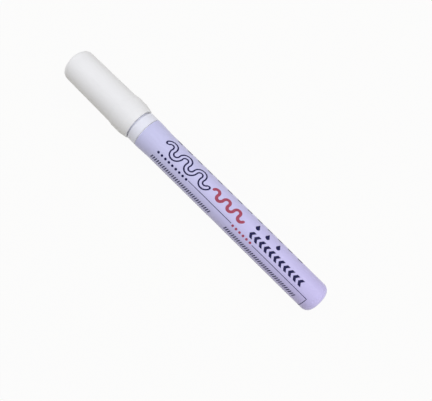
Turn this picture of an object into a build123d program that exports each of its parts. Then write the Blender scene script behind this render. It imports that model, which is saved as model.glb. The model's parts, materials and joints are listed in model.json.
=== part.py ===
from build123d import *
import os

# Valve-action paint marker, in millimetres. It lies on its side along X, cap at -X and tail at +X,
# with Z up. The origin is under the middle of its length, on the surface that it lies on.
# Stations are distances along the axis from the cap's closed end.

# Clearances
fit_gap = 0.05  # between pieces that are pressed or clipped together
slide_gap = 0.07  # between pieces that slide on each other
cap_gap = 0.7  # between the cap's open edge and the collar

# Barrel, one drawn aluminium tube with a closed tail and a flared mouth
barrel_length = 97.0
barrel_radius = 6.65
barrel_wall = 0.45
barrel_flare = 0.3  # how much the mouth stands proud of the straight tube
barrel_lip_length = 1.6
barrel_flare_length = 6.0
barrel_flare_round = 25.0
barrel_lip_round = 0.25
tail_wall = 0.8
tail_round = 3.4

# Front section, one moulding: nose, cap seat, collar and the plug that is pressed into the barrel
collar_length = 4.0
collar_inset = 0.05  # below the barrel's mouth
collar_front_round = 0.3
collar_rear_round = 0.2
cap_seat_length = 9.4
cap_seat_step = 1.0  # below the collar
cap_seat_round = 0.6
bead_height = 0.15
bead_round = 0.4
bead_count = 2
shoulder_length = 1.6
shoulder_step = 1.2  # from the cap seat down to the neck
neck_length = 5.4
neck_round = 0.3
land_step = 0.7  # from the neck down to the sealing land
land_length = 5.5
nose_cone_length = 2.5
nose_tip_wall = 0.7
nose_tip_round = 0.4
vent_count = 4
vent_width = 0.7
vent_depth = 0.35
vent_setback = 4.45  # from the inner end of the nib's bore
plug_length = 10.0
plug_round = 0.6
barb_count = 2
barb_length = 1.4
barb_gap = 0.02  # to the barrel's bore

# Sealing ring in a groove of the plug
ring_thickness = 0.8
ring_from_collar = 2.6
ring_side_gap = 0.15
groove_wall = 0.7  # under the groove

# Nib, a bullet of bonded fibre that slides in the nose
nib_radius = 2.0
nib_length = 17.0
nib_reach = 4.8  # out of the nose
nib_clearance = 5.05  # from the point to the floor of the cap's liner
nib_gap = 0.06
nib_point_radius = 0.95
nib_point_round = 0.8
nib_taper_length = 3.6
nib_taper_round = 4.0
nib_end_round = 0.4
nib_travel = 1.2

# Valve: a soft seat, a stem with a poppet, a spring and a slotted cage
stem_rod_radius = 1.05
stem_flow_gap = 0.45
stem_bridge_length = 1.0  # wall between the nib's bore and the valve chamber
chamber_feed_gap = 0.4  # round the cage, behind its skirt
seat_land = 0.7  # straight bore in front of the seat's cone
seat_rim = 0.1  # of the cone, round the poppet
poppet_gap = 0.45  # to the cage's wall
poppet_thickness = 0.9
guide_rod_radius = 1.2
guide_rod_reach = 0.3  # past the cage's floor
cage_wall = 0.7
cage_length = 13.0
cage_floor = 1.2
cage_skirt_length = 3.2
window_count = 4
window_width = 2.0
window_setback = 2.3  # from the cage's floor
feed_hole_count = 3
feed_hole_radius = 0.4
spring_wire = 0.4
spring_gap = 0.3  # to the guide rod
spring_turns = 7

# Cap shell
cap_mouth_wall = 1.13
cap_mouth_taper = 3.2
cap_band_swell = 0.6  # of the band over the open edge
cap_band_length = 9.4
cap_step_length = 1.8
cap_step_height = 0.35
cap_step_round = 2.0
cap_draft = 0.4  # from the band to the closed end
cap_wall = 1.3
cap_end_wall = 1.5
cap_corner_round = 2.6
cap_lip_round = 0.3
cap_bore_lead = 1.0  # from the seat's bore to the narrower bore
gate_radius = 1.6
gate_depth = 0.25

# Cap liner, a soft cup that closes on the nose's sealing land
liner_wall = 0.8
liner_floor = 1.0
liner_round = 0.3
liner_clearance = 0.5  # from the liner's mouth to the neck
rib_count = 8
rib_width = 0.9
rib_setback = 3.0  # from the liner's mouth

# Mixing ball
ball_radius = 3.0
ball_gap = 0.15

# Radii that follow
bore_radius = barrel_radius - barrel_wall
barrel_mouth_radius = barrel_radius + barrel_flare
plug_radius = bore_radius - fit_gap
collar_radius = barrel_mouth_radius - collar_inset
cap_seat_radius = collar_radius - cap_seat_step
neck_radius = cap_seat_radius - shoulder_step
land_radius = neck_radius - land_step
nib_bore_radius = nib_radius + nib_gap
nose_tip_radius = nib_bore_radius + nose_tip_wall
passage_radius = stem_rod_radius + stem_flow_gap
groove_depth = ring_thickness + fit_gap
feed_radius = plug_radius - groove_depth - groove_wall
chamber_radius = feed_radius - chamber_feed_gap
cage_radius = chamber_radius - fit_gap
cage_bore = cage_radius - cage_wall
poppet_radius = cage_bore - poppet_gap
seat_face = poppet_radius + seat_rim - passage_radius  # the cone is at 45 degrees
spring_radius = guide_rod_radius + spring_gap + spring_wire / 2
ring_radius = bore_radius - fit_gap - ring_thickness / 2
cap_bore = cap_seat_radius + bead_height + slide_gap
cap_mouth_radius = cap_bore + cap_mouth_wall
cap_band_radius = cap_mouth_radius + cap_band_swell
cap_body_radius = cap_band_radius - cap_step_height
cap_end_radius = cap_body_radius - cap_draft
liner_bore = land_radius + slide_gap
liner_radius = liner_bore + liner_wall

# Stations that follow, from the cap's closed end to the tail
liner_front = cap_end_wall + fit_gap
nib_tip = liner_front + liner_floor + nib_clearance
nose_tip = nib_tip + nib_reach
land_front = nose_tip + nose_cone_length
neck_front = land_front + land_length
liner_mouth = neck_front - liner_clearance
shoulder_front = neck_front + neck_length
cap_seat_front = shoulder_front + shoulder_length
collar_front = cap_seat_front + cap_seat_length
cap_length = collar_front - cap_gap
collar_rear = collar_front + collar_length
plug_rear = collar_rear + plug_length
tail_end = collar_rear + barrel_length
nib_rear = nib_tip + nib_length
nib_bore_end = nib_rear + nib_travel + fit_gap
chamber_front = nib_bore_end + stem_bridge_length
seat_rear = chamber_front + fit_gap + seat_land + seat_face
poppet_rear = seat_rear + poppet_thickness
cage_front = seat_rear + fit_gap
cage_rear = cage_front + cage_length
skirt_rear = cage_front + cage_skirt_length
overall_length = tail_end

axis_height = cap_band_radius
cap_end_x = -overall_length / 2
marker_axis = Axis((0, 0, axis_height), (1, 0, 0))
# Half profiles are drawn in this plane: stations along, radii up
profile_plane = Plane(origin=(cap_end_x, 0, axis_height), x_dir=(1, 0, 0), z_dir=(0, -1, 0))


def cross_plane(station):
    """The plane square to the axis at a station, facing the tail."""
    return Plane(origin=(cap_end_x + station, 0, axis_height), x_dir=(0, 1, 0), z_dir=(1, 0, 0))


# Barrel
with BuildPart() as barrel:
    with BuildSketch(profile_plane):
        with BuildLine():
            FilletPolyline(
                (collar_rear, bore_radius),
                (collar_rear, barrel_mouth_radius),
                (collar_rear + barrel_lip_length, barrel_mouth_radius),
                (collar_rear + barrel_lip_length + barrel_flare_length, barrel_radius),
                (tail_end, barrel_radius),
                (tail_end, 0),
                (tail_end - tail_wall, 0),
                (tail_end - tail_wall, bore_radius),
                radius=(
                    0,
                    barrel_lip_round,
                    barrel_flare_round,
                    barrel_flare_round,
                    tail_round,
                    0,
                    0,
                    tail_round - barrel_wall,
                ),
                close=True,
            )
        make_face()
    revolve(axis=marker_axis)

# Front section
ring_station = collar_rear + ring_from_collar
groove_length = ring_thickness + 2 * ring_side_gap
barb_stretch = plug_length - plug_round - ring_from_collar - groove_length / 2
barb_middle = plug_rear - plug_round - barb_stretch / 2
barb_height = fit_gap - barb_gap
with BuildPart() as front_section:
    with BuildSketch(profile_plane):
        with BuildLine():
            FilletPolyline(
                (nose_tip, nib_bore_radius),
                (nose_tip, nose_tip_radius),
                (land_front, land_radius),
                (neck_front, land_radius),
                (neck_front, neck_radius),
                (shoulder_front, neck_radius),
                (cap_seat_front, cap_seat_radius),
                (collar_front, cap_seat_radius),
                (collar_front, collar_radius),
                (collar_rear, collar_radius),
                (collar_rear, plug_radius),
                (plug_rear, plug_radius),
                (plug_rear, feed_radius),
                (skirt_rear, feed_radius),
                (skirt_rear, chamber_radius),
                (chamber_front, chamber_radius),
                (chamber_front, passage_radius),
                (nib_bore_end, passage_radius),
                (nib_bore_end, nib_bore_radius),
                radius=(
                    0,
                    nose_tip_round,
                    cap_seat_round,
                    0,
                    neck_round,
                    cap_seat_round,
                    cap_seat_round,
                    0,
                    collar_front_round,
                    collar_rear_round,
                    0,
                    plug_round,
                    0,
                    0,
                    0,
                    0,
                    0,
                    0,
                    0,
                ),
                close=True,
            )
        make_face()
    revolve(axis=marker_axis)
    # Snap beads that hold the cap, evenly spaced from the middle of its seat
    with BuildSketch(profile_plane):
        with Locations((collar_front - cap_seat_length / 2, cap_seat_radius + bead_height - bead_round)):
            with GridLocations(cap_seat_length / bead_count, 1, bead_count, 1):
                Circle(bead_round)
    revolve(axis=marker_axis)
    # Groove for the sealing ring
    with BuildSketch(profile_plane):
        with Locations((ring_station, plug_radius)):
            Rectangle(groove_length, 2 * groove_depth)
    revolve(axis=marker_axis, mode=Mode.SUBTRACT)
    # Barbs that grip the barrel, evenly spaced behind the groove
    with BuildSketch(profile_plane):
        with Locations((barb_middle, plug_radius)):
            with GridLocations(barb_stretch / barb_count, 1, barb_count, 1):
                Polygon(
                    (-barb_length / 2, -barb_height),
                    (barb_length / 2, -barb_height),
                    (-barb_length / 2, barb_height),
                    align=None,
                )
    revolve(axis=marker_axis)
    # Air vents along the nib's bore, open at the tip
    with BuildSketch(cross_plane(nose_tip)):
        with PolarLocations(nib_bore_radius, vent_count):
            Rectangle(2 * vent_depth, vent_width)
    extrude(amount=nib_bore_end - vent_setback - nose_tip, mode=Mode.SUBTRACT)

# Sealing ring
with BuildPart() as sealing_ring:
    with BuildSketch(profile_plane):
        with Locations((ring_station, ring_radius)):
            Circle(ring_thickness / 2)
    revolve(axis=marker_axis)

# Nib
with BuildPart() as nib:
    with BuildSketch(profile_plane):
        with BuildLine():
            FilletPolyline(
                (nib_tip, 0),
                (nib_tip, nib_point_radius),
                (nib_tip + nib_taper_length, nib_radius),
                (nib_rear, nib_radius),
                (nib_rear, 0),
                radius=(0, nib_point_round, nib_taper_round, nib_end_round, 0),
                close=True,
            )
        make_face()
    revolve(axis=marker_axis)

# Valve seat
with BuildPart() as valve_seat:
    with BuildSketch(profile_plane):
        with BuildLine():
            Polyline(
                (chamber_front + fit_gap, passage_radius),
                (chamber_front + fit_gap, cage_radius),
                (seat_rear, cage_radius),
                (seat_rear, passage_radius + seat_face),
                (seat_rear - seat_face, passage_radius),
                close=True,
            )
        make_face()
    revolve(axis=marker_axis)

# Valve stem: its poppet's cone lies on the seat's cone, both at 45 degrees
stem_front = nib_rear + fit_gap
cone_gap = fit_gap * 2**0.5
cone_rear = seat_rear + cone_gap - seat_rim
cone_front = cone_rear - (poppet_radius - stem_rod_radius)
with BuildPart() as valve_stem:
    with BuildSketch(profile_plane):
        with BuildLine():
            Polyline(
                (stem_front, 0),
                (stem_front, stem_rod_radius),
                (cone_front, stem_rod_radius),
                (cone_rear, poppet_radius),
                (poppet_rear, poppet_radius),
                (poppet_rear, guide_rod_radius),
                (cage_rear + guide_rod_reach, guide_rod_radius),
                (cage_rear + guide_rod_reach, 0),
                close=True,
            )
        make_face()
    revolve(axis=marker_axis)

# Valve cage
cage_floor_front = cage_rear - cage_floor
window_front = skirt_rear + cage_wall
with BuildPart() as valve_cage:
    with BuildSketch(profile_plane):
        with BuildLine():
            Polyline(
                (cage_front, cage_bore),
                (cage_front, cage_radius),
                (cage_rear, cage_radius),
                (cage_rear, guide_rod_radius + slide_gap),
                (cage_floor_front, guide_rod_radius + slide_gap),
                (cage_floor_front, cage_bore),
                close=True,
            )
        make_face()
    revolve(axis=marker_axis)
    with BuildSketch(cross_plane(window_front)):
        with PolarLocations(cage_radius, window_count):
            Rectangle(cage_radius, window_width)
    extrude(amount=cage_floor_front - window_setback - window_front, mode=Mode.SUBTRACT)
    with BuildSketch(cross_plane(cage_floor_front)):
        with PolarLocations((spring_radius + spring_wire / 2 + cage_bore) / 2, feed_hole_count):
            Circle(feed_hole_radius)
    extrude(amount=cage_floor, mode=Mode.SUBTRACT)

# Valve spring, between the poppet and the cage's floor
spring_front = poppet_rear + fit_gap + spring_wire / 2
spring_length = cage_floor_front - fit_gap - spring_wire / 2 - spring_front
with BuildPart() as valve_spring:
    with BuildLine():
        coil = Helix(
            pitch=spring_length / spring_turns,
            height=spring_length,
            radius=spring_radius,
            center=(cap_end_x + spring_front, 0, axis_height),
            direction=(1, 0, 0),
        )
    with BuildSketch(Plane(origin=coil @ 0, z_dir=coil % 0)):
        Circle(spring_wire / 2)
    sweep(path=coil, is_frenet=True)

# Cap shell
band_front = cap_length - cap_band_length
seat_bore_front = cap_seat_front - cap_bore_lead
with BuildPart() as cap_shell:
    with BuildSketch(profile_plane):
        with BuildLine():
            FilletPolyline(
                (0, 0),
                (0, cap_end_radius),
                (band_front, cap_body_radius),
                (band_front + cap_step_length, cap_band_radius),
                (cap_length - cap_mouth_taper, cap_band_radius),
                (cap_length, cap_mouth_radius),
                (cap_length, cap_bore),
                (seat_bore_front, cap_bore),
                (seat_bore_front - cap_bore_lead, cap_body_radius - cap_wall),
                (cap_end_wall, cap_end_radius - cap_wall),
                (cap_end_wall, 0),
                radius=(
                    0,
                    cap_corner_round,
                    cap_step_round,
                    cap_step_round,
                    cap_step_round,
                    cap_lip_round,
                    cap_lip_round,
                    0,
                    0,
                    liner_round,
                    0,
                ),
                close=True,
            )
        make_face()
    revolve(axis=marker_axis)
    # Shallow recess round the moulding gate
    with BuildSketch(cross_plane(0)):
        Circle(gate_radius)
    extrude(amount=gate_depth, mode=Mode.SUBTRACT)
    # Ribs that hold the liner in the middle
    rib_inner = liner_radius + fit_gap
    rib_outer = cap_end_radius - cap_wall / 2
    with BuildSketch(cross_plane(cap_end_wall)):
        with PolarLocations((rib_inner + rib_outer) / 2, rib_count):
            Rectangle(rib_outer - rib_inner, rib_width)
    extrude(amount=liner_mouth - rib_setback - cap_end_wall)

# Cap liner
with BuildPart() as cap_liner:
    with BuildSketch(profile_plane):
        with BuildLine():
            FilletPolyline(
                (liner_front, 0),
                (liner_front, liner_radius),
                (liner_mouth, liner_radius),
                (liner_mouth, liner_bore),
                (liner_front + liner_floor, liner_bore),
                (liner_front + liner_floor, 0),
                radius=(0, liner_round, 0, liner_round, liner_round, 0),
                close=True,
            )
        make_face()
    revolve(axis=marker_axis)

# Mixing ball, at the tail end of the barrel's floor
ball_station = tail_end - tail_round - tail_wall
with BuildPart() as mixing_ball:
    with Locations((cap_end_x + ball_station, 0, axis_height - bore_radius + ball_radius + ball_gap)):
        Sphere(ball_radius)

pieces = {
    "barrel": barrel,
    "front_section": front_section,
    "sealing_ring": sealing_ring,
    "nib": nib,
    "valve_seat": valve_seat,
    "valve_stem": valve_stem,
    "valve_cage": valve_cage,
    "valve_spring": valve_spring,
    "cap_shell": cap_shell,
    "cap_liner": cap_liner,
    "mixing_ball": mixing_ball,
}
os.makedirs("parts", exist_ok=True)
for name, piece in pieces.items():
    piece.part.label = name
    export_step(piece.part, f"parts/{name}.step")
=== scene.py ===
"""A capped paint marker lying on its side: moulded shells, a printed barrel and soft light from above."""
import json
import math

import bmesh
import bpy
from mathutils import Matrix, Vector


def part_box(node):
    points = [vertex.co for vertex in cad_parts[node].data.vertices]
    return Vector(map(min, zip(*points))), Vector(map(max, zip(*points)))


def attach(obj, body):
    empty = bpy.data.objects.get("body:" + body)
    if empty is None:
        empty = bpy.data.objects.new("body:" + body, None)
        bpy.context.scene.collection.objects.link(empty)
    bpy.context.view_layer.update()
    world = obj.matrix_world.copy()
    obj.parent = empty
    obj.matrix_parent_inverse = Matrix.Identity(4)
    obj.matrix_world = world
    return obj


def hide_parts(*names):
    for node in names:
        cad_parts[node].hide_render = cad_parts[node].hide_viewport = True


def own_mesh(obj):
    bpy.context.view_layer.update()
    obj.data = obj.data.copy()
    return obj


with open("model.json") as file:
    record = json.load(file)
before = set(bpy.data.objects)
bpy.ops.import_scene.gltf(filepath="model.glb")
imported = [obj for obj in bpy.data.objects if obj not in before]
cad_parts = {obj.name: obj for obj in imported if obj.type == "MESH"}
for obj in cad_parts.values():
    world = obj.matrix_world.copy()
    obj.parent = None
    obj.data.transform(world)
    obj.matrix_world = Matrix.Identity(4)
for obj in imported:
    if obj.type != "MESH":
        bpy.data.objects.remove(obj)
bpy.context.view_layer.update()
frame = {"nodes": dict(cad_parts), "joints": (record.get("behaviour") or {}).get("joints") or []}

# Lengths are in millimetres unless a comment says metres. Pieces are drawn about the X axis and lifted to
# the marker's own axis when they are finished.
MM = 0.001


def extent(node):
    """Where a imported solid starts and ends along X, and its largest radius."""
    low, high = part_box(node)
    return low.x / MM, high.x / MM, (high.z - low.z) / 2 / MM


# The marker lies on the cap's band, so its axis is as high as the band's radius. The barrel is widest at
# its flared mouth.
_, _, axis_height = extent("cap_shell")
barrel_mouth, tail_end, barrel_mouth_radius = extent("barrel")
barrel_flare = 0.3
barrel_radius = barrel_mouth_radius - barrel_flare
crease_angle = math.radians(35)

# Nib. Its strands are a sum of waves round it, each with its count and its start in radians.
nib_point, nib_end, nib_radius = extent("nib")
nib_travel = next(joint["range_m"][1] for joint in frame["joints"] if joint["name"] == "nib_press") / MM
nib_point_radius = 0.95
nib_point_round = 0.8
nib_taper_length = 3.6
nib_taper_round = 1.6
nib_end_round = 0.4
nib_round_steps = 10
nib_ring_step = 0.6
nib_steps = 160
nib_weld = 0.001
fibre_depth = 0.05
fibre_waves = ((43, 0.0), (61, 1.7), (79, 0.6))

# Valve spring
spring_start, spring_end, spring_outer_radius = extent("valve_spring")
spring_length = spring_end - spring_start
spring_wire = 0.4
spring_wire_sides = 14
spring_turns = 7
spring_turn_steps = 36

# Print on the barrel, drawn flat. Stations are distances from the barrel's mouth. Heights are distances
# round the barrel from its top line, and up the page is towards +Y.
ink_height = 0.02
ink_sunk = 0.01
ink_slice = 0.4
slice_snap = 0.0001

# Brush strokes, one in outline and one solid. Their ends are rounded by nearly half of their thickness.
squiggle_bends = 6
squiggle_bend_spread = math.radians(97)
squiggle_lean = 0.15
squiggle_slice = 0.25
squiggle_end_share = 0.49
squiggle_end_steps = 8
outline_start = 10.2
outline_middle = 2.25
outline_bend_radius = 2.0
outline_thickness = 2.2
outline_width = 0.62
solid_start = 35.9
solid_middle = 2.0
solid_bend_radius = 1.45
solid_thickness = 1.25

# Drops. Their tops are drawn up by a share of the radius, and pinched by a share of the width.
drop_stations = (58.9, 64.2, 70.0)
drop_middle = 4.0
drop_radius = 1.0
drop_sides = 32
drop_draw = 0.7
drop_pinch = 0.6

# Chevrons
chevron_count = 11
chevron_start = 57.7
chevron_step = 2.65
chevron_middle = 0.25
chevron_width = 1.4
chevron_height = 2.9
chevron_reach = 1.1

# Thin rules, one between the rows of dots and three round a panel
rule_width = 0.26
rule_round = 0.05
bar_round_steps = 2
front_rule_start = 26.4
front_rule_end = 50.0
front_rule_middle = -2.25
panel_start = 8.6
panel_end = 91.9
panel_top_start = 61.8
panel_top = -2.85
panel_bottom = -13.95

# Rows of dots
dot_radius = 0.55
dot_sides = 24
dot_step = 1.9
navy_dots_start = outline_start
navy_dots_end = 25.4
navy_dots_middle = -2.45
red_dots_start = 51.1
red_dots_end = 60.6
red_dots_middle = -2.6

# Hatching in the panel
hatch_spans = ((panel_start, 40.1), (49.2, 87.0))
hatch_middles = (-6.1, -10.4)
hatch_width = 0.48
hatch_height = 2.0
hatch_step = 1.05
hatch_lean = 0.3

# Rows of dashes on the far side, every second one shifted by half a step
dash_start = 11.6
dash_end = 81.2
dash_rows = 3
dash_first_middle = 8.75
dash_row_step = 2.1
dash_length = 2.6
dash_height = 1.2
dash_round = 0.3
dash_step = 5.6

# Studio. The floor's reach is in metres.
white = (1.0, 1.0, 1.0)
floor_reach = 3.0
floor_colour = (0.46, 0.44, 0.37)
floor_whiteness = 0.95
fill_colour = (1.0, 0.965, 0.87)
fill_strength = 0.3
lamp_colour = (0.935, 0.952, 1.0)

# Camera, nearly straight above the marker. Its shifts are shares of the picture's width.
camera_lens = 45
camera_sensor = 36
camera_shift = (-0.05, 0.05)
camera_nearest = 10
camera_turn = math.radians(44.583)
camera_rise = math.radians(88.866)
camera_aim = (23.317, -0.07, axis_height)
camera_distance = 217.275


class Wire:
    """One output of a node tree. Arithmetic on it adds Math nodes."""

    def __init__(self, tree, socket=None):
        self.tree = tree
        self.socket = socket

    def node(self, kind, settings=None, inputs=None, out=0):
        """Adds a node of a kind, sets it up, feeds its inputs and gives one of its outputs."""
        made = self.tree.nodes.new(kind)
        for name, value in (settings or {}).items():
            if name == "stops":
                for stop, (place, colour) in zip(made.color_ramp.elements, value):
                    stop.position = place
                    stop.color = (*colour, 1.0)
            else:
                setattr(made, name, value)
        for name, value in (inputs or {}).items():
            if isinstance(value, Wire):
                self.tree.links.new(value.socket, made.inputs[name])
            else:
                made.inputs[name].default_value = value
        return Wire(self.tree, made.outputs[out]) if made.outputs else None

    def maths(self, operation, first, second):
        """One Math node on two values."""
        return self.node("ShaderNodeMath", {"operation": operation}, {0: first, 1: second})

    def __add__(self, other):
        return self.maths("ADD", self, other)

    def __radd__(self, other):
        return self.maths("ADD", other, self)

    def __sub__(self, other):
        return self.maths("SUBTRACT", self, other)

    def __rsub__(self, other):
        return self.maths("SUBTRACT", other, self)

    def __mul__(self, other):
        return self.maths("MULTIPLY", self, other)

    def __rmul__(self, other):
        return self.maths("MULTIPLY", other, self)

    def __lt__(self, other):
        return self.maths("LESS_THAN", self, other)

    def __gt__(self, other):
        return self.maths("GREATER_THAN", self, other)

    def about(self, middle, spread):
        """Values spread round a middle, as this goes from 0 to 1."""
        return (self - 0.5) * spread + middle

    def noise(self, scale, detail=2.0, stretch=(1.0, 1.0, 1.0)):
        """Noise from 0 to 1 on these coordinates, with this many waves in a metre."""
        place = self.node("ShaderNodeMapping", inputs={"Vector": self, "Scale": stretch})
        return self.node("ShaderNodeTexNoise", inputs={"Vector": place, "Scale": scale, "Detail": detail})

    def blend(self, low, high):
        """From one colour to another as this goes from 0 to 1."""
        return self.node("ShaderNodeValToRGB", {"stops": ((0.0, low), (1.0, high))}, {"Fac": self})

    def mixed(self, colour, factor, blend_type="MIX"):
        """This colour with another laid over it, as far as a factor says."""
        settings = {"data_type": "RGBA", "blend_type": blend_type}
        return self.node("ShaderNodeMix", settings, {"Factor": factor, "A": self, "B": colour}, out="Result")

    def bump(self, depth):
        """A normal from this height, where 1 stands for a depth in millimetres."""
        return self.node("ShaderNodeBump", inputs={"Height": self, "Distance": depth * MM})

    def seen(self):
        """1 for rays from the camera, also by way of a gloss or through a clear piece, and 0 for light."""
        ways = ("Is Camera Ray", "Is Glossy Ray", "Is Transmission Ray")
        camera, gloss, clear = (self.node("ShaderNodeLightPath", out=way) for way in ways)
        return camera + gloss + clear


def start_tree(owner):
    """Empties the nodes of a material or a world, and starts a wire there."""
    owner.use_nodes = True
    owner.node_tree.nodes.clear()
    return Wire(owner.node_tree)


def start_finish(name):
    """An empty material and its Object coordinates."""
    finish = bpy.data.materials.new(name)
    return finish, start_tree(finish).node("ShaderNodeTexCoord", out="Object")


def end_finish(wire, inputs):
    """Ends a material in a Principled shader with these inputs."""
    shader = wire.node("ShaderNodeBsdfPrincipled", inputs=inputs)
    wire.node("ShaderNodeOutputMaterial", inputs={"Surface": shader})


def shade(colour, share):
    """A colour made lighter or darker by a share of itself."""
    return tuple(min(1.0, part * (1 + share)) for part in colour)


def lilac_lacquer():
    """Satin lacquer on drawn aluminium, with a hairline of worn bare metal round the mouth's edge, drawn
    dark as painted shade along the joint with the collar.
    """
    # The lacquer turns a little darker and pinker towards the tail: painted shade for the light along the
    # barrel.
    front_colour = (0.61, 0.61, 0.88)
    tail_shaded_colour = (0.6, 0.55, 0.88)
    # The hairline's metal is far darker than aluminium: real wear, painted darker as the shade along the
    # joint with the collar.
    worn_metal_shade_colour = (0.42, 0.42, 0.46)
    worn_shade_width = 0.2
    worn_shade_spread = 0.12
    finish, place = start_finish("lilac_lacquer")
    along = place.node("ShaderNodeSeparateXYZ", inputs={"Vector": place}, out="X")
    to_tail = along.node(
        "ShaderNodeMapRange",
        inputs={"Value": along, "From Min": barrel_mouth * MM, "From Max": tail_end * MM},
    )
    cloud = place.noise(scale=70, detail=3.0)
    mottle = cloud.blend(shade(white, -0.025), white)
    # Front to tail blend: painted shade towards the tail.
    lacquer = to_tail.blend(front_colour, tail_shaded_colour).mixed(mottle, factor=1.0, blend_type="MULTIPLY")
    # Hairline mask at the mouth: worn bare metal, and the painted shade line at the collar joint.
    worn_edge_shade = along < place.noise(scale=1500) * (worn_shade_spread * MM) + (barrel_mouth + worn_shade_width) * MM
    end_finish(
        place,
        {
            "Base Color": lacquer.mixed((*worn_metal_shade_colour, 1.0), factor=worn_edge_shade),
            "Metallic": worn_edge_shade,
            "Roughness": cloud.about(0.26, spread=0.08),
            "Specular IOR Level": 0.2,
            "Normal": place.noise(scale=1100, detail=1.0).bump(depth=0.012),
        },
    )
    return finish


def moulded(name, colour, roughness, grain, depth):
    """Moulded plastic: a faint cloudy tone, and the fine grain of its tool at a scale and depth."""
    finish, place = start_finish(name)
    cloud = place.noise(scale=90, detail=3.0)
    texture = place.noise(scale=grain)
    end_finish(
        place,
        {
            "Base Color": cloud.blend(shade(colour, -0.03), shade(colour, 0.02)),
            "Roughness": texture.about(roughness, spread=0.1),
            "Normal": texture.bump(depth),
        },
    )
    return finish


def bonded_fibre():
    """Pressed fibre: pale strands along the nib, with lower tufts among them."""
    tuft_share = 0.4
    finish, place = start_finish("bonded_fibre")
    strands = place.noise(scale=1.0, detail=3.0, stretch=(250, 6500, 6500))
    tufts = place.noise(scale=2500, detail=3.0)
    end_finish(
        place,
        {
            "Base Color": strands.blend((0.62, 0.6, 0.55), (0.88, 0.87, 0.83)),
            "Roughness": tufts.about(0.87, spread=0.1),
            "Normal": (strands + tufts * tuft_share).bump(depth=0.03),
        },
    )
    return finish


def soft_rubber():
    """Black rubber with a greyer bloom."""
    finish, place = start_finish("soft_rubber")
    bloom = place.noise(scale=400, detail=3.0)
    end_finish(
        place,
        {
            "Base Color": bloom.blend((0.035, 0.035, 0.038), (0.08, 0.08, 0.085)),
            "Roughness": bloom.about(0.65, spread=0.2),
            "Normal": place.noise(scale=3000).bump(depth=0.005),
        },
    )
    return finish


def drawn_steel():
    """Bright steel with fine scratches along the marker."""
    finish, place = start_finish("drawn_steel")
    scratches = place.noise(scale=1.0, detail=3.0, stretch=(300, 5000, 5000))
    end_finish(
        place,
        {
            "Base Color": scratches.blend((0.54, 0.54, 0.55), (0.68, 0.68, 0.69)),
            "Metallic": 1.0,
            "Roughness": scratches.about(0.275, spread=0.15),
            "Normal": scratches.bump(depth=0.002),
        },
    )
    return finish


def screen_ink(name, colour):
    """Screen ink: a little uneven, and less glossy than the lacquer."""
    finish, place = start_finish(name)
    cover = place.noise(scale=900, detail=4.0)
    end_finish(
        place,
        {
            "Base Color": cover.blend(shade(colour, 0.35), shade(colour, -0.25)),
            "Roughness": cover.about(0.525, spread=0.15),
            "Specular IOR Level": 0.16,
            "Normal": cover.bump(depth=0.004),
        },
    )
    return finish


def add_object(name, data):
    """A new object in the scene, at the origin."""
    made = bpy.data.objects.new(name, data)
    bpy.context.scene.collection.objects.link(made)
    return made


def add_mesh(name, bm, finish):
    """A new object from a drawn mesh, in one finish."""
    mesh = bpy.data.meshes.new(name)
    bm.to_mesh(mesh)
    bm.free()
    mesh.materials.append(finish)
    return add_object(name, mesh)


def make_piece(name, bm, finish, body):
    """Ends a mesh that was drawn in millimetres about the X axis as a piece that rides on a body."""
    bmesh.ops.recalc_face_normals(bm, faces=bm.faces[:])
    bmesh.ops.transform(bm, matrix=Matrix.Translation((0, 0, axis_height)), verts=bm.verts[:])
    bmesh.ops.scale(bm, vec=(MM, MM, MM), verts=bm.verts[:])
    piece = add_mesh(name, bm, finish)
    piece.data.shade_smooth()
    piece.data.set_sharp_from_angle(angle=crease_angle)
    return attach(piece, body)


def corner_bevel(bm, corners, offset, segments):
    """Rounds corners of an outline or a flat shape."""
    bmesh.ops.bevel(
        bm,
        geom=corners,
        offset=offset,
        offset_type="OFFSET",
        segments=segments,
        profile=0.5,
        affect="VERTICES",
        material=-1,
    )


def draw_nib_outline(bm):
    """Half of the nib's outline, with rounded corners and its long lines divided."""
    outline = (
        (nib_point, 0.0, 0.0),
        (nib_point, nib_point_radius, nib_point_round),
        (nib_point + nib_taper_length, nib_radius, nib_taper_round),
        (nib_end, nib_radius, nib_end_round),
        (nib_end, 0.0, 0.0),
    )
    corners = [bm.verts.new((x, 0, radius)) for x, radius, _ in outline]
    for first, second in zip(corners, corners[1:]):
        bm.edges.new((first, second))
    for corner, (_, _, round_reach) in zip(corners, outline):
        if round_reach:
            corner_bevel(bm, [corner], round_reach, nib_round_steps)
    for edge in bm.edges[:]:
        cuts = int(edge.calc_length() / nib_ring_step)
        if cuts:
            bmesh.ops.subdivide_edges(bm, edges=[edge], cuts=cuts)


def press_strands(bm):
    """Sinks shallow grooves into the nib, along it and fading towards its axis."""
    for vert in bm.verts:
        radius = math.hypot(vert.co.y, vert.co.z)
        if radius > fibre_depth:
            angle = math.atan2(vert.co.y, vert.co.z)
            strand = sum(math.sin(count * angle + start) for count, start in fibre_waves) / len(fibre_waves)
            sunk = 1 - fibre_depth * (0.5 - 0.5 * strand) * min(1.0, radius / nib_radius) / radius
            vert.co.y *= sunk
            vert.co.z *= sunk


def make_nib(finish):
    """The fibre bullet, spun from its outline, with shallow strands along it."""
    bm = bmesh.new()
    draw_nib_outline(bm)
    whole = bm.verts[:] + bm.edges[:]
    bmesh.ops.spin(
        bm, geom=whole, cent=(0, 0, 0), axis=(1, 0, 0), angle=math.tau, steps=nib_steps, use_merge=True
    )
    bmesh.ops.remove_doubles(bm, verts=bm.verts[:], dist=nib_weld)
    press_strands(bm)
    piece = make_piece("nib_bullet", bm, finish, "nib_valve")
    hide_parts("nib")


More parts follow.
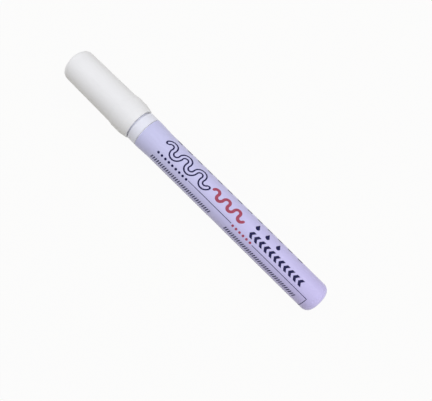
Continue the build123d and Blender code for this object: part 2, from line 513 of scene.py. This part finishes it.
def make_spring(finish):
    """The wound spring, drawn at its length at rest."""
    bm = bmesh.new()
    wire_radius = spring_wire / 2
    place = Matrix.Translation((spring_start + wire_radius, 0, spring_outer_radius - wire_radius))
    place @= Matrix.Rotation(math.radians(90), 4, "X")
    bmesh.ops.create_circle(bm, cap_ends=True, segments=spring_wire_sides, radius=wire_radius, matrix=place)
    steps = spring_turns * spring_turn_steps
    bmesh.ops.spin(
        bm,
        geom=bm.verts[:] + bm.edges[:] + bm.faces[:],
        cent=(0, 0, 0),
        axis=(1, 0, 0),
        dvec=((spring_length - spring_wire) / steps, 0, 0),
        angle=spring_turns * math.tau,
        steps=steps,
    )
    open_end = [edge for edge in bm.edges if edge.is_boundary]
    bmesh.ops.holes_fill(bm, edges=open_end)
    piece = make_piece("spring_coil", bm, finish, "barrel")
    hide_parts("valve_spring")
    1 - nib_travel / spring_length
    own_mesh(piece)


def flat_patch(bm, start, end, middle, height, rows=1):
    """A flat patch of the print, in rows round the barrel."""
    place = Matrix.Translation(((start + end) / 2, middle, 0))
    place @= Matrix.Diagonal((end - start, height, 1, 1))
    return bmesh.ops.create_grid(bm, x_segments=1, y_segments=rows, size=0.5, matrix=place)["verts"]


def bar(bm, start, end, middle, height, corner):
    """A bar with rounded corners."""
    corner_bevel(bm, flat_patch(bm, start, end, middle, height), corner, bar_round_steps)


def dot_row(bm, start, end, middle):
    """Even round dots from one station to another."""
    for number in range(round((end - start) / dot_step) + 1):
        place = Matrix.Translation((start + number * dot_step, middle, 0))
        bmesh.ops.create_circle(bm, cap_ends=True, segments=dot_sides, radius=dot_radius, matrix=place)


def hatch_row(bm, start, end, middle):
    """An even band of leaning strokes from one station to another."""
    for number in range(round((end - start) / hatch_step) + 1):
        station = start + number * hatch_step
        for vert in flat_patch(bm, station, station + hatch_width, middle, hatch_height):
            vert.co.x += hatch_lean * (vert.co.y - middle)


def dash_row(bm, start, end, middle):
    """Even short dashes from one station to another."""
    for number in range(int((end - start) / dash_step) + 1):
        station = start + number * dash_step
        bar(bm, station, station + dash_length, middle, dash_height, dash_round)


def chevron(bm, start):
    """A bold chevron that points to the cap."""
    for vert in flat_patch(bm, start, start + chevron_width, chevron_middle, chevron_height, rows=2):
        vert.co.x += chevron_reach * abs(vert.co.y - chevron_middle) / (chevron_height / 2)


def drop(bm, station):
    """A drop with its point up."""
    place = Matrix.Translation((station, drop_middle, 0))
    made = bmesh.ops.create_circle(bm, cap_ends=True, segments=drop_sides, radius=drop_radius, matrix=place)
    for vert in made["verts"]:
        up = max(0.0, (vert.co.y - drop_middle) / drop_radius)
        vert.co.y += drop_draw * drop_radius * up**2
        vert.co.x += (station - vert.co.x) * drop_pinch * up


def cut_in_slices(bm, direction, step):
    """Cuts a flat drawing across a direction at even steps, so that it can be bent."""
    reach = [vert.co.dot(direction) for vert in bm.verts]
    for number in range(1, int((max(reach) - min(reach)) / step) + 1):
        bmesh.ops.bisect_plane(
            bm,
            geom=bm.verts[:] + bm.edges[:] + bm.faces[:],
            dist=slice_snap,
            plane_co=direction * (min(reach) + number * step),
            plane_no=direction,
        )


def leave_outline(bm):
    """Leaves only a border of the shapes drawn so far."""
    inside = bm.faces[:]
    bmesh.ops.inset_region(
        bm, faces=inside, thickness=outline_width, use_boundary=True, use_even_offset=True
    )
    bmesh.ops.delete(bm, geom=inside, context="FACES")


def snake(bm, start, middle, bend_radius):
    """Bends a straight stroke that starts at the origin into a leaning row of equal bends."""
    bend_length = 2 * squiggle_bend_spread * bend_radius
    bend_step = 2 * bend_radius * math.sin(squiggle_bend_spread)
    for vert in bm.verts:
        number = min(squiggle_bends - 1, max(0, int(vert.co.x / bend_length)))
        side = 1 if number % 2 == 0 else -1
        turn = vert.co.x / bend_radius - (2 * number + 1) * squiggle_bend_spread
        along = (number + 0.5) * bend_step + bend_radius * math.sin(turn)
        up = side * bend_radius * (math.cos(turn) - math.cos(squiggle_bend_spread))
        along += vert.co.y * side * math.sin(turn)
        up += vert.co.y * math.cos(turn)
        vert.co = (start + along + squiggle_lean * up, middle + up, 0)


def squiggle(bm, start, middle, bend_radius, thickness, hollow):
    """A brush stroke that snakes along the barrel, filled or as an outline."""
    stroke_length = squiggle_bends * 2 * squiggle_bend_spread * bend_radius
    corners = flat_patch(bm, 0, stroke_length, 0, thickness)
    corner_bevel(bm, corners, thickness * squiggle_end_share, squiggle_end_steps)
    if hollow:
        leave_outline(bm)
    cut_in_slices(bm, Vector((1, 0, 0)), squiggle_slice)
    snake(bm, start, middle, bend_radius)


def draw_squiggle_outline(bm):
    squiggle(bm, outline_start, outline_middle, outline_bend_radius, outline_thickness, hollow=True)


def draw_squiggle_solid(bm):
    squiggle(bm, solid_start, solid_middle, solid_bend_radius, solid_thickness, hollow=False)


def draw_drops(bm):
    for station in drop_stations:
        drop(bm, station)


def draw_chevrons(bm):
    for number in range(chevron_count):
        chevron(bm, chevron_start + number * chevron_step)


def draw_rules(bm):
    """The front rule, and the panel's top, upright and bottom rules."""
    panel_middle = (panel_top + panel_bottom) / 2
    panel_height = panel_top - panel_bottom + rule_width
    bar(bm, front_rule_start, front_rule_end, front_rule_middle, rule_width, rule_round)
    bar(bm, panel_top_start, panel_end, panel_top, rule_width, rule_round)
    bar(bm, panel_end - rule_width, panel_end, panel_middle, panel_height, rule_round)
    bar(bm, panel_start, panel_end, panel_bottom, rule_width, rule_round)


def draw_navy_dots(bm):
    dot_row(bm, navy_dots_start, navy_dots_end, navy_dots_middle)


def draw_red_dots(bm):
    dot_row(bm, red_dots_start, red_dots_end, red_dots_middle)


def draw_hatching(bm):
    for middle in hatch_middles:
        for start, end in hatch_spans:
            hatch_row(bm, start, end, middle)


def draw_dashes(bm):
    for number in range(dash_rows):
        start = dash_start + number % 2 * dash_step / 2
        dash_row(bm, start, dash_end, dash_first_middle + number * dash_row_step)


def print_on_barrel(name, bm, finish):
    """Bends a flat drawing round the barrel and gives it the thickness of ink."""
    cut_in_slices(bm, Vector((0, 1, 0)), ink_slice)
    top = barrel_radius + ink_height
    for vert in bm.verts:
        angle = vert.co.y / barrel_radius
        vert.co = (barrel_mouth + vert.co.x, top * math.sin(angle), top * math.cos(angle))
    drawing = bm.faces[:] + bm.edges[:]
    pulled = bmesh.ops.extrude_face_region(bm, geom=drawing, use_keep_orig=True)["geom"]
    underside = [item for item in pulled if isinstance(item, bmesh.types.BMVert)]
    inward = (barrel_radius - ink_sunk) / top
    bmesh.ops.scale(bm, vec=(1, inward, inward), verts=underside)
    make_piece(name, bm, finish, "barrel")


def print_all():
    """The barrel's print in its two inks, one piece for each motif."""
    inks = {
        "print_navy": screen_ink("navy_ink", (0.007, 0.006, 0.055)),
        "print_red": screen_ink("red_ink", (0.36, 0.066, 0.112)),
    }
    motifs = (
        ("print_squiggle_outline", "print_navy", draw_squiggle_outline),
        ("print_squiggle_solid", "print_red", draw_squiggle_solid),
        ("print_drops", "print_navy", draw_drops),
        ("print_chevrons", "print_navy", draw_chevrons),
        ("print_rules", "print_navy", draw_rules),
        ("print_dots", "print_navy", draw_navy_dots),
        ("print_red_dots", "print_red", draw_red_dots),
        ("print_hatching", "print_navy", draw_hatching),
        ("print_dashes", "print_navy", draw_dashes),
    )
    for name, slot, draw in motifs:
        bm = bmesh.new()
        draw(bm)
        print_on_barrel(name, bm, inks[slot])


def dress_nodes(steel):
    """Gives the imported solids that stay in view, and the ones inside, their finishes."""
    cap_white = moulded("cap_white", (0.855, 0.855, 0.875), roughness=0.55, grain=2600, depth=0.012)
    collar_white = moulded("collar_white", (0.81, 0.82, 0.92), roughness=0.4, grain=1800, depth=0.004)
    liner_natural = moulded("liner_natural", (0.72, 0.72, 0.69), roughness=0.45, grain=1800, depth=0.006)
    valve_natural = moulded("valve_natural", (0.7, 0.7, 0.68), roughness=0.4, grain=1800, depth=0.006)
    rubber = soft_rubber()
    finishes = {
        "barrel": lilac_lacquer(),
        "front_section": collar_white,
        "cap_shell": cap_white,
        "cap_liner": liner_natural,
        "valve_stem": valve_natural,
        "valve_cage": valve_natural,
        "valve_seat": rubber,
        "sealing_ring": rubber,
        "mixing_ball": steel,
    }
    for node, finish in finishes.items():
        for slot in frame["nodes"][node].material_slots:
            slot.material = finish


def pale_floor():
    """Matt to the light, and nearly white wherever it is seen, with its shadows."""
    finish = bpy.data.materials.new("pale_floor")
    path = start_tree(finish)
    matt = path.node("ShaderNodeBsdfDiffuse", inputs={"Color": (*floor_colour, 1.0)})
    bright = path.node("ShaderNodeEmission", inputs={"Color": (*white, 1.0), "Strength": 1.0})
    whiteness = path.seen() * floor_whiteness
    surface = path.node("ShaderNodeMixShader", inputs={"Fac": whiteness, 1: matt, 2: bright})
    path.node("ShaderNodeOutputMaterial", inputs={"Surface": surface})
    return finish


def add_floor():
    """A wide floor under the marker, which takes its soft shadow."""
    bm = bmesh.new()
    bmesh.ops.create_grid(bm, x_segments=1, y_segments=1, size=floor_reach)
    floor = add_mesh("floor", bm, pale_floor())


def add_world():
    """Even light from all round, which is seen as white."""
    world = bpy.data.worlds.new("studio")
    bpy.context.scene.world = world
    path = start_tree(world)
    fill_inputs = {"Color": (*fill_colour, 1.0), "Strength": fill_strength}
    fill = path.node("ShaderNodeBackground", inputs=fill_inputs)
    bright = path.node("ShaderNodeBackground", inputs={"Color": (*white, 1.0), "Strength": 1.0})
    surface = path.node("ShaderNodeMixShader", inputs={"Fac": path.seen(), 1: fill, 2: bright})
    path.node("ShaderNodeOutputWorld", inputs={"Surface": surface})


def look_along(thing, direction):
    """Turns a lamp or the camera to a direction."""
    thing.rotation_euler = direction.to_track_quat("-Z", "Y").to_euler()


def add_lamp(name, place, aim, size, power):
    """A rectangular soft lamp, with its place, aim and two sizes in metres."""
    data = bpy.data.lights.new(name, "AREA")
    data.shape = "RECTANGLE"
    data.size, data.size_y = size
    data.energy = power
    data.color = lamp_colour
    lamp = add_object(name, data)
    lamp.location = place
    look_along(lamp, Vector(aim) - Vector(place))


def add_lamps():
    """A wide lamp above, a lamp beyond each end, and one like a window at the far side."""
    add_lamp("key_lamp", place=(0.0, 0.05, 1.0), aim=(0.0, 0.0, 0.0), size=(1.2, 1.2), power=5.75)
    add_lamp("tail_lamp", place=(0.87, 0.06, 0.22), aim=(0.06, 0.0, 0.01), size=(0.8, 0.42), power=2.0)
    add_lamp("cap_lamp", place=(-0.87, -0.03, 0.3), aim=(-0.06, 0.0, 0.01), size=(1.0, 0.56), power=2.5)
    add_lamp("window_lamp", place=(0.25, 0.75, 0.75), aim=(0.0, 0.0, 0.0), size=(0.9, 0.25), power=2.8)


def add_camera():
    """The photograph's view, nearly straight down, with the marker across the frame."""
    data = bpy.data.cameras.new("photo_camera")
    data.lens = camera_lens
    data.sensor_width = camera_sensor
    data.shift_x, data.shift_y = camera_shift
    data.clip_start = camera_nearest * MM
    camera = add_object("photo_camera", data)
    level = Vector((math.sin(camera_turn), -math.cos(camera_turn), 0))
    back = level * math.cos(camera_rise) + Vector((0, 0, math.sin(camera_rise)))
    camera.location = (Vector(camera_aim) + back * camera_distance) * MM
    look_along(camera, -back)
    bpy.context.scene.camera = camera


steel = drawn_steel()
dress_nodes(steel)
make_nib(bonded_fibre())
make_spring(steel)
print_all()
add_floor()
add_world()
add_lamps()
add_camera()
bpy.context.scene.view_settings.view_transform = "Standard"
